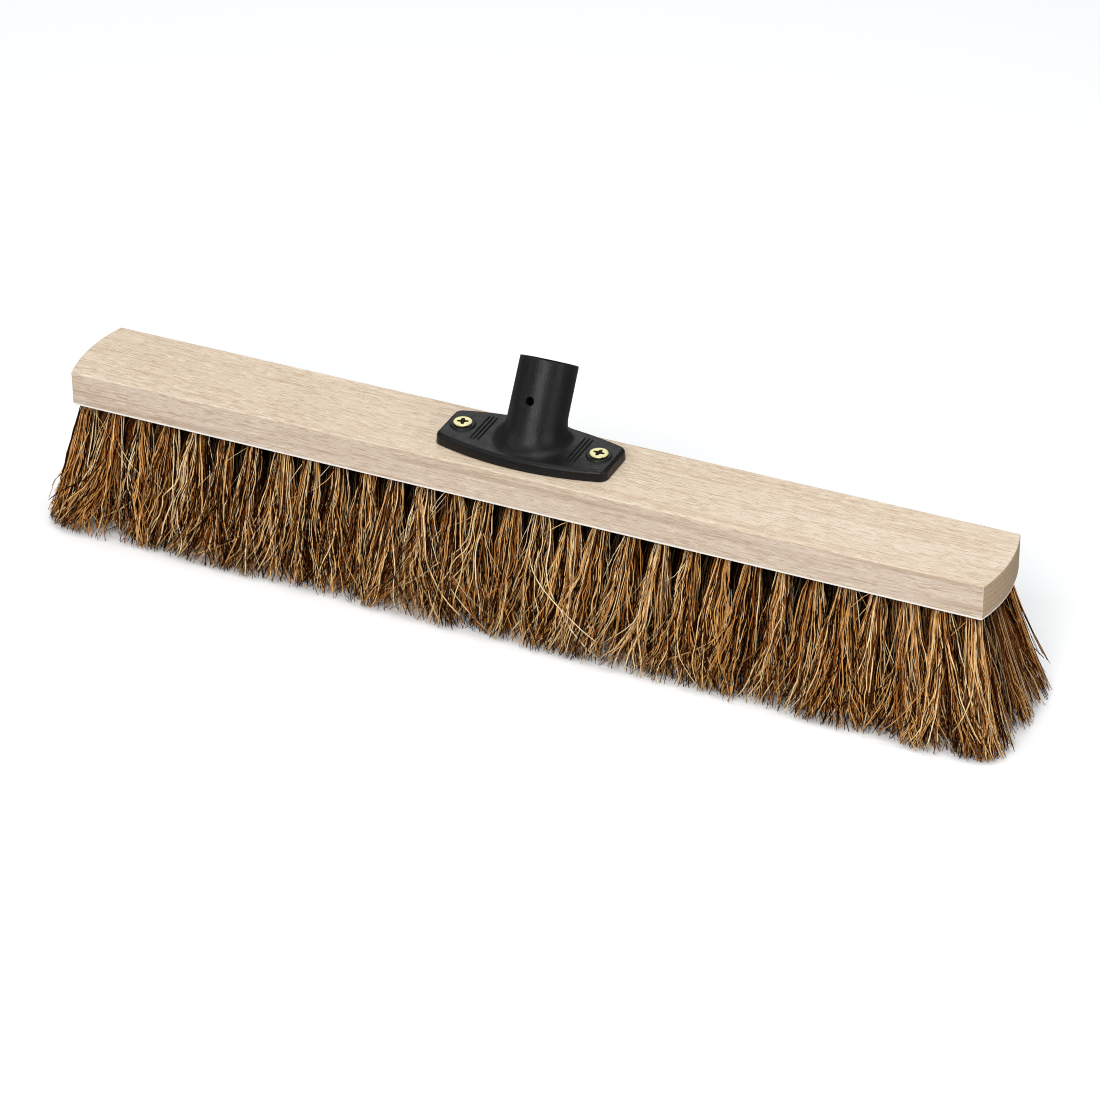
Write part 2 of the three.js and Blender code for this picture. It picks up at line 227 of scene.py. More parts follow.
class Graph:
    """Short calls for building a node tree. Any value may be a socket or a constant."""

    def __init__(self, tree):
        self.tree = tree

    def feed(self, socket, value):
        if isinstance(value, bpy.types.NodeSocket):
            self.tree.links.new(value, socket)
        elif isinstance(value, tuple) and socket.type == "RGBA":
            socket.default_value = (*value, 1)
        else:
            socket.default_value = value

    def new(self, kind, inputs=None, **settings):
        node = self.tree.nodes.new(kind)
        for name, value in settings.items():
            setattr(node, name, value)
        for key, value in (inputs or {}).items():
            self.feed(node.inputs[key], value)
        return node

    def position(self):
        return self.new("ShaderNodeTexCoord").outputs["Object"]

    def split(self, vector):
        return list(self.new("ShaderNodeSeparateXYZ", {0: vector}).outputs)

    def mapping(self, vector, stretch=(1, 1, 1), rotation=(0, 0, 0), location=(0, 0, 0)):
        return self.new("ShaderNodeMapping", {
            "Vector": vector, "Scale": stretch, "Rotation": rotation, "Location": location,
        }).outputs[0]

    def plain_noise(self, vector, scale=1.0, detail=2.0, rough=0.5):
        return self.new("ShaderNodeTexNoise", {
            "Vector": vector, "Scale": scale, "Detail": detail, "Roughness": rough,
        }).outputs["Fac"]

    def noise(self, vector, scale=1.0, detail=2.0, rough=0.5, **placing):
        """Noise on mapped coordinates."""
        return self.plain_noise(self.mapping(vector, **placing), scale, detail, rough)

    def ramp(self, factor, stops):
        node = self.new("ShaderNodeValToRGB", {0: factor})
        elements = node.color_ramp.elements
        elements.remove(elements[-1])
        for i, (place, colour) in enumerate(stops.items()):
            element = elements.new(place) if i else elements[0]
            element.position = place
            element.color = (*colour, 1)
        return node.outputs[0]

    def math(self, operation, *values, clamp=False):
        return self.new("ShaderNodeMath", dict(enumerate(values)),
                        operation=operation, use_clamp=clamp).outputs[0]

    def product(self, first, *others):
        for other in others:
            first = self.math("MULTIPLY", first, other)
        return first

    def vector_math(self, operation, *vectors, output="Vector"):
        return self.new("ShaderNodeVectorMath", dict(enumerate(vectors)),
                        operation=operation).outputs[output]

    def remap(self, value, between, to=(0.0, 1.0), smooth=False):
        return self.new("ShaderNodeMapRange", {
            "Value": value, "From Min": between[0], "From Max": between[1],
            "To Min": to[0], "To Max": to[1],
        }, interpolation_type="SMOOTHSTEP" if smooth else "LINEAR").outputs[0]

    def fade(self, value, between, to=1.0):
        """A soft step from 0 up to the given amount."""
        return self.remap(value, between, (0.0, to), smooth=True)

    def mix(self, base, over, factor, blend="MIX"):
        return self.new("ShaderNodeMix", {0: factor, 6: base, 7: over},
                        data_type="RGBA", blend_type=blend).outputs[2]

    def bump(self, height, strength, distance, **under):
        inputs = {"Height": height, "Strength": strength, "Distance": distance}
        if under:
            inputs["Normal"] = under["normal"]
        return self.new("ShaderNodeBump", inputs).outputs[0]


def new_material(name):
    coat = bpy.data.materials.new(name)
    coat.use_nodes = True
    tree = coat.node_tree
    tree.nodes.clear()
    graph = Graph(tree)
    output = graph.new("ShaderNodeOutputMaterial")
    shader = graph.new("ShaderNodeBsdfPrincipled")
    tree.links.new(shader.outputs[0], output.inputs[0])
    return coat, graph, shader


def dress(graph, shader, **inputs):
    """Sets or links inputs of the shader; underscores stand for spaces."""
    for name, value in inputs.items():
        graph.feed(shader.inputs[name.replace("_", " ")], value)


# ---------------------------------------------------------------- beech
def wandering_grain(graph, pos):
    """Coordinates whose grain runs along the block and wanders up to 5 mm off its line."""
    wander = graph.noise(pos, stretch=(5, 12, 12))
    shift = graph.product(graph.math("SUBTRACT", wander, 0.5), 10 * MM)
    offset = graph.new("ShaderNodeCombineXYZ", {1: shift, 2: shift}).outputs[0]
    return graph.vector_math("ADD", pos, offset)


def beech_face(graph, pos, grain):
    """Colour of the planed faces, with the noises that other parts of the material share."""
    drift = graph.noise(grain, stretch=(4, 30, 30))
    colour = graph.ramp(drift, {
        0.28: srgb(212, 194, 170),
        0.50: srgb(219, 201, 178),
        0.74: srgb(226, 209, 188),
    })
    lines = graph.noise(grain, detail=3, rough=0.62, stretch=(3.0, 210, 170))
    line_mask = graph.fade(lines, between=(0.50, 0.66), to=0.42)
    colour = graph.mix(colour, srgb(198, 170, 140), line_mask)
    # fine pale streaks
    ray = graph.noise(grain, rough=0.55, stretch=(160, 1300, 1400), location=(3, 7, 1))
    ray_mask = graph.fade(ray, between=(0.52, 0.68), to=0.55)
    colour = graph.mix(colour, srgb(243, 230, 211), ray_mask)
    # short dark flecks drawn out along the grain, dense in some places and sparse in others
    fleck = graph.noise(grain, detail=1.5, stretch=(170, 1700, 1900))
    dense = graph.noise(pos, stretch=(7, 34, 34))
    threshold = graph.remap(dense, between=(0.35, 0.65), to=(0.585, 0.53))
    edge_gain = 11.0
    above = graph.math("SUBTRACT", fleck, threshold)
    fleck_mask = graph.math("MULTIPLY", above, edge_gain, clamp=True)
    fleck_amount = 0.55
    colour = graph.mix(colour, srgb(176, 146, 116), graph.product(fleck_mask, fleck_amount))
    # long hairline streaks
    hair = graph.noise(grain, detail=1, stretch=(26, 1500, 1500), location=(1, 2, 9))
    hair_mask = graph.fade(hair, between=(0.56, 0.68), to=0.50)
    colour = graph.mix(colour, srgb(180, 152, 122), hair_mask)
    return colour, lines, fleck, fleck_mask


def beech_end(graph, pos):
    """Colour of the end grain: darker, with faint curved rings and pores."""
    centre = graph.mapping(pos, location=(0, 0.006, -0.235))
    in_plane = graph.vector_math("MULTIPLY", centre, (0, 1, 1))
    radius = graph.vector_math("LENGTH", in_plane, output="Value")
    wobble = graph.noise(pos, stretch=(30, 60, 60))
    rings_per_metre, wobble_amount = 2100.0, 6.0        # both in radians of the ring wave
    turn = graph.math("ADD", graph.product(radius, rings_per_metre),
                      graph.product(wobble, wobble_amount))
    ring = graph.remap(graph.math("SINE", turn), between=(-1, 1))
    pore = graph.noise(pos, rough=0.6, stretch=(900, 2300, 900))
    colour = graph.ramp(ring, {
        0.0: srgb(190, 165, 136),
        0.75: srgb(186, 160, 131),
        1.0: srgb(178, 151, 121),
    })
    dark_pores = graph.fade(pore, between=(0.48, 0.66), to=0.55)
    colour = graph.mix(colour, srgb(138, 111, 84), dark_pores)
    pale_pores = graph.fade(pore, between=(0.46, 0.32), to=0.40)
    return graph.mix(colour, srgb(206, 186, 160), pale_pores)


def beech_material():
    coat, graph, shader = new_material("beech")
    pos = graph.position()
    normal = graph.new("ShaderNodeNewGeometry").outputs["Normal"]
    facing_x, facing_y, facing_z = [graph.math("ABSOLUTE", part) for part in graph.split(normal)]
    z = graph.split(pos)[2]
    grain = wandering_grain(graph, pos)

    colour, lines, fleck, fleck_mask = beech_face(graph, pos, grain)
    ends = graph.fade(facing_x, between=(0.78, 0.94))
    colour = graph.mix(colour, beech_end(graph, pos), ends)
    # the long sides are a little pinker and greyer than the top
    long_side = graph.fade(facing_y, between=(0.72, 0.95))
    colour = graph.mix(colour, (0.945, 0.935, 0.960), long_side, blend="MULTIPLY")
    side_lines, side_line_amount = graph.fade(lines, between=(0.44, 0.60)), 0.35
    side_mask = graph.product(long_side, side_lines, side_line_amount)
    colour = graph.mix(colour, srgb(168, 146, 126), side_mask)
    # painted highlight: a near-white band along the lower arris, standing in for a bright rim of
    # light
    rim_highlight_band = graph.fade(z, between=(Z_UNDER + 1.7 * MM, Z_UNDER + 1.0 * MM))
    off_level = graph.fade(facing_z, between=(0.97, 0.90))
    rim_highlight_amount = 0.92
    rim_highlight_mask = graph.product(rim_highlight_band, off_level, rim_highlight_amount)
    colour = graph.mix(colour, srgb(253, 249, 242), rim_highlight_mask)

    # fibres stand up, flecks sink in
    fibre_height, fleck_sink = 0.7, 0.6
    fibre = graph.noise(grain, rough=0.6, stretch=(110, 1700, 1700))
    height = graph.math("SUBTRACT", graph.product(fibre, fibre_height),
                        graph.product(fleck_mask, fleck_sink))
    dress(graph, shader,
          Base_Color=colour,
          Roughness=graph.remap(fleck, between=(0.3, 0.7), to=(0.52, 0.68)),
          Specular_IOR_Level=0.28,
          Normal=graph.bump(height, strength=0.55, distance=0.16 * MM))
    return coat


# ---------------------------------------------------------------- plastic and metals
def bore_mask(graph, pos):
    """1 inside the tube's bore, 0 elsewhere."""
    from_foot = graph.vector_math("SUBTRACT", pos, tuple(TUBE_FOOT))
    along = graph.vector_math("DOT_PRODUCT", from_foot, tuple(ALONG), output="Value")
    on_axis = graph.new("ShaderNodeVectorMath", {0: tuple(ALONG), "Scale": along},
                        operation="SCALE").outputs[0]
    radius = graph.vector_math("DISTANCE", from_foot, on_axis, output="Value")
    return graph.product(graph.remap(radius, between=(13.0 * MM, 12.4 * MM)),
                         graph.remap(along, between=(10.0 * MM, 10.4 * MM)))


def plastic_material():
    coat, graph, shader = new_material("black_moulding")
    pos = graph.position()
    cloud = graph.noise(pos, scale=60, detail=3, rough=0.55)
    speck = graph.noise(pos, scale=1250, rough=0.6)
    body = graph.ramp(cloud, {0.3: (0.0040, 0.0042, 0.0042), 0.7: (0.0070, 0.0072, 0.0070)})
    speck_mask = graph.fade(speck, between=(0.58, 0.74), to=0.65)
    grainy = graph.noise(pos, scale=2100, rough=0.65)
    smear = graph.noise(pos, scale=240, detail=3, rough=0.6,
                        stretch=(1, 1, 0.35), rotation=(TILT, 0, 0))
    rough = graph.math("ADD", graph.remap(smear, between=(0.3, 0.7), to=(0.32, 0.47)),
                       graph.remap(grainy, between=(0.3, 0.7), to=(-0.05, 0.08)))
    orange_peel = graph.bump(graph.noise(pos, scale=800), strength=0.35, distance=0.2 * MM)
    dress(graph, shader,
          Base_Color=graph.mix(body, (0.030, 0.030, 0.029), speck_mask),
          Roughness=rough,
          # painted shade: the bore loses nearly all its reflection, standing in for the shade
          # inside it
          Specular_IOR_Level=graph.remap(bore_mask(graph, pos), between=(0, 1), to=(0.27, 0.03)),
          Normal=graph.bump(grainy, strength=0.50, distance=0.14 * MM, normal=orange_peel))
    return coat


def recess_mask(graph, pos):
    """1 inside the cross recess of either screw, 0 elsewhere."""
    x, y, z = graph.split(pos)
    off_centre = graph.math("SUBTRACT", graph.math("ABSOLUTE", x), FRAME_SCREW_X)
    reach = (3.6 * MM, 3.3 * MM)
    return graph.product(
        graph.fade(z, between=(FRAME_HEAD_TOP - 0.03 * MM, FRAME_HEAD_TOP - 0.16 * MM)),
        graph.remap(graph.math("ABSOLUTE", off_centre), between=reach),
        graph.remap(graph.math("ABSOLUTE", y), between=reach),
        graph.remap(z, between=(FRAME_HEAD_TOP - 2.7 * MM, FRAME_HEAD_TOP - 2.4 * MM)))


def zinc_material():
    coat, graph, shader = new_material("yellow_zinc")
    pos = graph.position()
    plated = graph.ramp(graph.noise(pos, scale=420), {
        0.3: srgb(214, 204, 142),
        0.55: srgb(230, 224, 168),
        0.75: srgb(222, 206, 148),
    })
    # painted shade: the cross recess is coloured nearly black and loses its metal and sheen,
    # standing in for its shadow
    recess = recess_mask(graph, pos)
    recess_shade_amount = 0.97
    recess_shade = graph.product(recess, recess_shade_amount)
    dress(graph, shader,
          Base_Color=graph.mix(plated, (0.010, 0.009, 0.006), recess_shade),
          Metallic=graph.remap(recess, between=(0, 1), to=(0.30, 0.0)),
          Specular_IOR_Level=graph.remap(recess, between=(0, 1), to=(0.5, 0.02)),
          Roughness=graph.remap(graph.noise(pos, scale=1500), between=(0.3, 0.7),
                                to=(0.28, 0.42)),
          Normal=graph.bump(graph.noise(pos, scale=2400), strength=0.12, distance=0.05 * MM))
    return coat


def steel_material():
    coat, graph, shader = new_material("anchor_steel")
    tint = graph.noise(graph.position(), scale=300)
    dress(graph, shader,
          Base_Color=graph.ramp(tint, {0.3: srgb(150, 150, 148), 0.7: srgb(188, 188, 184)}),
          Metallic=1.0,
          Roughness=graph.remap(tint, between=(0.3, 0.7), to=(0.3, 0.45)))
    return coat


# ---------------------------------------------------------------- coir
STRAND_UV = "OFBake"
SHADES = 256                            # columns of the strand UV map, one tone each


def coir_material(name, root_shade_end, root_shade, dim, shadow=(12, 4, 0)):
    """Colour by strand: u picks the fibre's tone, v runs from root to tip.

    The two root arguments say how far down the painted shade at the root reaches and how strong it
    is; dim is how much painted shade, in the shadow colour, lies over the whole fibre."""
    coat, graph, shader = new_material(name)
    u, v, _ = graph.split(graph.new("ShaderNodeUVMap", uv_map=STRAND_UV).outputs[0])
    column = graph.math("FLOOR", graph.product(u, float(SHADES)))
    tone = graph.math("DIVIDE", graph.math("ADD", column, 0.5), float(SHADES))
    colour = graph.ramp(tone, {
        0.00: srgb(12, 3, 0),
        0.20: srgb(42, 15, 1),
        0.38: srgb(106, 53, 13),
        0.54: srgb(175, 106, 45),
        0.72: srgb(234, 176, 103),
        0.88: srgb(251, 214, 155),
        1.00: srgb(255, 238, 200),
    })
    # dark and light blotches along each fibre
    tone_spread, blotches_along = 977.0, 9.0
    place = graph.new("ShaderNodeCombineXYZ", {
        0: graph.product(tone, tone_spread),
        1: graph.product(v, blotches_along),
    }).outputs[0]
    blotch = graph.plain_noise(place, detail=3, rough=0.6)
    dark = graph.fade(blotch, between=(0.48, 0.72), to=0.60)
    colour = graph.mix(colour, srgb(58, 24, 4), dark)
    light = graph.product(graph.fade(blotch, between=(0.46, 0.26), to=0.45),
                          graph.remap(tone, between=(0.25, 0.5)))
    colour = graph.mix(colour, srgb(238, 192, 130), light)
    # painted shade: the fibres darken towards the root, standing in for the deep shade under the
    # block and between the tufts
    root = graph.remap(v, between=(0.10, root_shade_end), to=(root_shade, 0.0), smooth=True)
    colour = graph.mix(colour, srgb(12, 4, 0), root)
    tip = graph.fade(v, between=(0.94, 1.0), to=0.12)
    colour = graph.mix(colour, srgb(84, 48, 20), tip)
    # painted shade: the shadow colour laid over the fibre, weaker towards the tip
    painted_shade_cover = graph.remap(v, between=(0.6, 1.0), to=(dim, dim * 0.45))
    dress(graph, shader,
          Base_Color=graph.mix(colour, srgb(*shadow), painted_shade_cover),
          Roughness=graph.remap(blotch, between=(0.3, 0.7), to=(0.46, 0.66)),
          Specular_IOR_Level=0.04)
    return coat


BEECH, PLASTIC, ZINC, STEEL = (
    beech_material(), plastic_material(), zinc_material(), steel_material())
# all three carry painted shade at the root; the two other coir materials are shaded copies,
# darkened all over, for the hidden inner rows and for the inner rows near the ends
COIR = coir_material("coir", root_shade_end=0.24, root_shade=0.45, dim=0.0)
COIR_INNER_SHADED = coir_material("coir_inner", root_shade_end=0.90, root_shade=1.0, dim=0.50)
COIR_END_SHADED = coir_material("coir_end", root_shade_end=0.40, root_shade=0.75, dim=0.58,
                         shadow=(92, 44, 12))


def tuft_places(row):
    """X of each tuft; every other row is set off by half a pitch."""
    count = 31 if row % 2 == 0 else 30
    return [(i - (count - 1) / 2) * PITCH for i in range(count)]


# ---------------------------------------------------------------- block
END_STEPS = 28


def block_outline():
    """The block in plan: straight long sides, bowed ends."""
    half_length, half_width = BLOCK_LENGTH / 2, BLOCK_WIDTH / 2
    radius = (half_width * half_width + END_BOW * END_BOW) / (2 * END_BOW)
    reach = math.asin(half_width / radius)
    outline = []
    for centre_x, middle in ((half_length - radius, 0), (radius - half_length, math.pi)):
        for i in range(END_STEPS + 1):
            a = middle - reach + 2 * reach * i / END_STEPS
            outline.append((centre_x + radius * math.cos(a), radius * math.sin(a)))
    return outline


def bevel_edges(bm, chosen, offset, segments, clamp):
    bm.normal_update()
    bmesh.ops.bevel(bm, geom=[edge for edge in bm.edges if chosen(edge)], offset=offset,
                    segments=segments, profile=0.5, affect="EDGES", clamp_overlap=clamp)


def rim_at(z):
    """Test for the edges between the level face at z and the walls."""
    def chosen(edge):
        return (all(abs(v.co.z - z) < 1e-7 for v in edge.verts)
                and len(edge.link_faces) == 2
                and any(abs(face.normal.z) < 0.5 for face in edge.link_faces))
    return chosen


def build_block():
    outline = block_outline()
    bm = bmesh.new()
    low = [bm.verts.new((x, y, Z_UNDER)) for x, y in outline]
    high = [bm.verts.new((x, y, Z_TOP)) for x, y in outline]
    bm.faces.new(low[::-1])
    bm.faces.new(high)
    for i in range(len(outline)):
        j = (i + 1) % len(outline)
        bm.faces.new((low[i], low[j], high[j], high[i]))
    corners = [{low[i], high[i]} for i in (0, END_STEPS, END_STEPS + 1, 2 * END_STEPS + 1)]
    bevel_edges(bm, lambda edge: set(edge.verts) in corners,
                offset=0.6 * MM, segments=3, clamp=False)
    bevel_edges(bm, rim_at(Z_TOP), offset=2.6 * MM, segments=7, clamp=True)
    bevel_edges(bm, rim_at(Z_UNDER), offset=0.9 * MM, segments=3, clamp=True)
    bmesh.ops.remove_doubles(bm, verts=bm.verts, dist=1e-7)
    ob = from_bmesh("beech_block_sanded", bm)

    # (radius, height from the face) in mm
    tuft_hole = [(0, -2), (HOLE_RADIUS, -2), (HOLE_RADIUS, HOLE_DEPTH - 1.6), (0, HOLE_DEPTH)]
    screw_hole = [(0, -8.6), (1.7, -7), (1.7, 1.5), (0, 1.5)]
    holes = [lathe(tuft_hole, 20, Vector((x, ROW_Y[row], Z_UNDER)))
             for row in range(ROWS) for x in tuft_places(row)]
    holes += [lathe(screw_hole, 20, Vector((x, 0, Z_TOP))) for x in SCREW_PLACES]
    boolean(ob, "cut", holes)
    finish_piece(ob, BEECH, "beech_block", sharp_angle=32)


# ---------------------------------------------------------------- handle socket
PLATE_HALF_LENGTH = 46.5 * MM
PLATE_HALF_WIDTH = 20.5 * MM            # at the middle
PLATE_HALF_END = 13.2 * MM              # governs how far the long sides have drawn in at the ends
PLATE_CORNER, PLATE_LEAST_CORNER = 5.0 * MM, 1.2 * MM
PLATE_DRAFT = 0.22 * MM                 # inset of the wall at its top
PLATE_EDGE = 2.1 * MM                   # rounding of the top edge
PLATE_TIGHT_EDGE = 0.14 * MM            # the same behind the tube
TUBE_ROOT_RADIUS, TUBE_RIM_RADIUS = 15.0 * MM, 14.75 * MM
TUBE_RIM_EDGE = 0.45 * MM
BORE_RADIUS, BORE_FLOOR, BORE_EDGE = 12.1 * MM, 10.5 * MM, 0.75 * MM
FILLET_REACH = 6.2 * MM
# where the tube's axis crosses the plate's top plane
TUBE_MIDDLE = Vector((0, (PLATE_TOP - Z_TOP) * math.tan(TILT), PLATE_TOP))


def plate_outline(inset):
    """Barrel outline with bowed sides, straight ends and rounded corners, anticlockwise."""
    bow_steps, corner_steps, end_steps = 76, 9, 5
    length, width, end = (size - inset for size in (
        PLATE_HALF_LENGTH, PLATE_HALF_WIDTH, PLATE_HALF_END))
    corner = max(PLATE_CORNER - inset, PLATE_LEAST_CORNER)
    bow = width - end
    radius = (length * length + bow * bow) / (2 * bow)
    corner_x = length - corner
    corner_y = width - radius + math.sqrt((radius - corner) ** 2 - corner_x * corner_x)
    turn = math.atan2(corner_x, corner_y - (width - radius))
    points = []

    def arc(x, y, arc_radius, start, stop, steps):
        for i in range(steps):
            a = start + (stop - start) * i / steps
            points.append((x + arc_radius * math.cos(a), y + arc_radius * math.sin(a)))

    def straight(x, y):
        points.extend((x, y - 2 * y * i / end_steps) for i in range(end_steps))

    quarter = math.pi / 2
    arc(corner_x, corner_y, corner, 0, quarter - turn, corner_steps)
    arc(0, width - radius, radius, quarter - turn, quarter + turn, bow_steps)
    arc(-corner_x, corner_y, corner, quarter + turn, math.pi, corner_steps)
    straight(-length, corner_y)
    arc(-corner_x, -corner_y, corner, math.pi, 3 * quarter - turn, corner_steps)
    arc(0, radius - width, radius, 3 * quarter - turn, 3 * quarter + turn, bow_steps)
    arc(corner_x, -corner_y, corner, 3 * quarter + turn, 4 * quarter, corner_steps)
    straight(length, -corner_y)
    return points


def plate_ring(inset, z):
    return [Vector((x, y, z)) for x, y in plate_outline(inset)]


def quarter_turn(steps):
    return [math.pi / 2 * k / steps for k in range(1, steps + 1)]


def edge_ring(radius, a):
    return plate_ring(PLATE_DRAFT + radius * (1 - math.cos(a)),
                      PLATE_TOP - radius * (1 - math.sin(a)))


def plate_rings(outline, angles):
    """The plate's wall and its top edge. The edge keeps its rounding except behind the tube,
    where the tube runs down the plate's back."""
    behind = [float(smoothstep(0.55, 0.90, math.sin(a)) * smoothstep(17, 9, abs(x) / MM))
              for a, (x, _) in zip(angles, outline)]
    seat = Z_TOP + 0.05 * MM
    rings = [
        plate_ring(0.5 * MM, seat),
        plate_ring(0.15 * MM, seat + 0.12 * MM),
        plate_ring(0.0, seat + 0.45 * MM),
        plate_ring(0.1 * MM, seat + 2.0 * MM),
        plate_ring(PLATE_DRAFT, PLATE_TOP - PLATE_EDGE),
    ]
    for a in quarter_turn(8):
        full, tight = edge_ring(PLATE_EDGE, a), edge_ring(PLATE_TIGHT_EDGE, a)
        rings.append([f.lerp(t, amount) for f, t, amount in zip(full, tight, behind)])
    return rings


def tube_point(angle, along, radius):
    return (TUBE_FOOT + ALONG * along + X_AXIS * (radius * math.cos(angle))
            - ACROSS * (radius * math.sin(angle)))


def tube_radius(along):
    part = min(1.0, max(0.0, along / TUBE_LENGTH))
    return TUBE_ROOT_RADIUS + (TUBE_RIM_RADIUS - TUBE_ROOT_RADIUS) * part


def fillet_ends(edge_point, angle):
    """Foot of the fillet on the plate, its sharp corner, how far the corner is eased, and how
    far along the tube the fillet ends."""
    along = ((PLATE_TOP - Z_TOP) + ACROSS.z * TUBE_ROOT_RADIUS * math.sin(angle)) / ALONG.z
    corner = tube_point(angle, along, TUBE_ROOT_RADIUS)
    # broad at the front and sides, next to nothing at the back
    back = float(smoothstep(0.25, 0.95, math.sin(angle)))
    reach = (1 - back) * FILLET_REACH + back * 0.35 * MM
    ray = edge_point - TUBE_MIDDLE
    ray.z = 0
    room = ray.length - (0.55 * (1 - back) + 0.10 * back) * MM
    ray.normalize()
    foot = TUBE_MIDDLE + ray * min((corner - TUBE_MIDDLE).length + reach, room)
    foot.z = PLATE_TOP
    # where the fillet has little room it also climbs less far
    width = max(0.0, min(1.0, (foot - corner).length / FILLET_REACH))
    rise = (1 - back) * (7.0 + 3.5 * width) * MM + back * 3.0 * MM
    return foot, corner, 0.12 * width * (1 - back), along + rise


def fillet_rings(edge, angles):
    """The plate's top, the fillet and the tube's wall."""
    ends = [fillet_ends(point, a) for point, a in zip(edge, angles)]
    feet = [foot for foot, *_ in ends]
    rings = [[p.lerp(foot, part) for p, foot in zip(edge, feet)] for part in (0.35, 0.7)]
    rings.append(feet)
    steps = 12
    for k in range(1, steps + 1):
        t = k / steps
        ring = []
        for (foot, corner, ease, along), a in zip(ends, angles):
            head = tube_point(a, along, tube_radius(along))
            # a soft conic: the control point is eased a little towards both ends
            control = corner.lerp((foot + head) / 2, ease)
            ring.append((1 - t) ** 2 * foot + 2 * t * (1 - t) * control + t * t * head)
        rings.append(ring)
    for k in range(1, 9):
        ring = []
        for (*_, start), a in zip(ends, angles):
            along = start + (TUBE_LENGTH - TUBE_RIM_EDGE - start) * k / 8
            ring.append(tube_point(a, along, tube_radius(along)))
        rings.append(ring)
    return rings


def bore_rings(angles):
    """Over the tube's rim and down the bore, by (distance along the tube, radius)."""
    stations = [(TUBE_LENGTH - TUBE_RIM_EDGE * (1 - math.sin(b)),
                 TUBE_RIM_RADIUS - TUBE_RIM_EDGE * (1 - math.cos(b))) for b in quarter_turn(4)]
    stations.append((TUBE_LENGTH, BORE_RADIUS + BORE_EDGE))
    stations += [(TUBE_LENGTH - BORE_EDGE * (1 - math.cos(b)),
                  BORE_RADIUS + BORE_EDGE * (1 - math.sin(b))) for b in quarter_turn(4)]
    stations += [(BORE_FLOOR + (TUBE_LENGTH - BORE_FLOOR) * part, BORE_RADIUS)
                 for part in (0.8, 0.55, 0.3)]
    stations += [
        (11.3 * MM, BORE_RADIUS),
        (10.7 * MM, BORE_RADIUS - 0.25 * MM),
        (BORE_FLOOR, BORE_RADIUS - 0.9 * MM),
        (BORE_FLOOR, BORE_RADIUS * 0.5),
    ]
    return [[tube_point(a, along, radius) for a in angles] for along, radius in stations]


def rib(x, length):
    """A low rounded bar along Y on the plate's top."""
    middle_y, width, height, sides = 1.0 * MM, 1.0 * MM, 0.45 * MM, 8
    rings = []
    for t in np.linspace(0, 1, 25):
        from_end = min(t, 1 - t) * 24
        size = max(math.sin(min(1.0, from_end) * math.pi / 2), 0.12)
        turns = [2 * math.pi * i / sides for i in range(sides)]
        rings.append([Vector((
            x + math.sin(a) * width / 2 * size,
            middle_y + (t - 0.5) * length,
            PLATE_TOP - 0.1 * MM + math.cos(a) * height * 1.35 * size,
        )) for a in turns])
    return bridge(rings)


def build_socket():
    outline = plate_outline(0)
    # each outline point and its tube point lie on one ray from the tube's middle
    angles = [math.atan2((y - TUBE_MIDDLE.y) * math.cos(TILT), x) for x, y in outline]
    rings = plate_rings(outline, angles)
    rings += fillet_rings(rings[-1], angles)
    rings += bore_rings(angles)
    ob = new_object("handle_socket_moulding", *bridge(rings))

    # collars round the screws, (radius, height above the plate) in mm
    collar = [(0, -2.5), (6.75, -2.5), (6.65, -0.1), (6.5, 0.15), (6.35, 0.5), (6.1, 0.7),
              (5.8, 0.78), (0, 0.78)]
    boolean(ob, "add", [lathe(collar, 64, Vector((x, 0, PLATE_TOP))) for x in SCREW_PLACES])
    # three ribs on either side of the tube
    rib_x, rib_pitch = 26.0 * MM, 2.1 * MM
    boolean(ob, "add", [rib(side * rib_x + k * rib_pitch, half_length * 2 * MM)
                        for side in (-1, 1)
                        for k, half_length in ((-1, 12.2), (0, 12.4), (1, 12.2))])
    # countersunk screw holes, and a stepped hole in the tube's front wall
    screw_hole = [(0, -1), (2.1, -1), (2.1, SCREW_RIM - 2.95), (5.45, SCREW_RIM + 0.4),
                  (5.45, SCREW_RIM + 3), (0, SCREW_RIM + 3)]
    wall_hole = [(0, 0), (2.0, 0), (2.0, 6.3), (2.4, 6.85), (2.4, 12), (0, 12)]
    cuts = [lathe(screw_hole, 48, Vector((x, 0, Z_TOP))) for x in SCREW_PLACES]
    wall_start = TUBE_FOOT + ALONG * 24 * MM + ACROSS * 8 * MM
    cuts.append(lathe(wall_hole, 40, wall_start, ACROSS))
    boolean(ob, "cut", cuts)
    finish_piece(ob, PLASTIC, "handle_socket", sharp_angle=38)


# ---------------------------------------------------------------- screws
SHANK = 1.45                            # shank radius in mm
HEAD = 4.7                              # head radius in mm
POINT_TOP, POINT = -5.0, -8.05          # where the point starts and ends, in mm from the block
SCREW_PROFILE = [                       # (radius, height above the block) in mm
    (0, POINT), (0.25, -7.9), (SHANK, POINT_TOP), (SHANK, 2.2), (1.85, 3.6),
    (1.95, SCREW_RIM - 2.75), (HEAD - 0.12, SCREW_RIM - 0.02), (HEAD, SCREW_RIM + 0.1),
    (HEAD, SCREW_TOP - 0.28), (HEAD - 0.08, SCREW_TOP - 0.12),
    (HEAD - 0.28, SCREW_TOP - 0.02), (HEAD - 0.5, SCREW_TOP), (0, SCREW_TOP),
]
RECESS = [                              # (height from the head's top, arm length,
    (-2.3, 0.75, 0.42, 0.50),           #  arm half width, inner corner) in mm
    (-1.7, 1.75, 0.52, 0.74),
    (-0.5, 2.75, 0.68, 0.98),
    (0.0, 3.05, 0.80, 1.12),
    (1.0, 3.3, 0.92, 1.26),
]


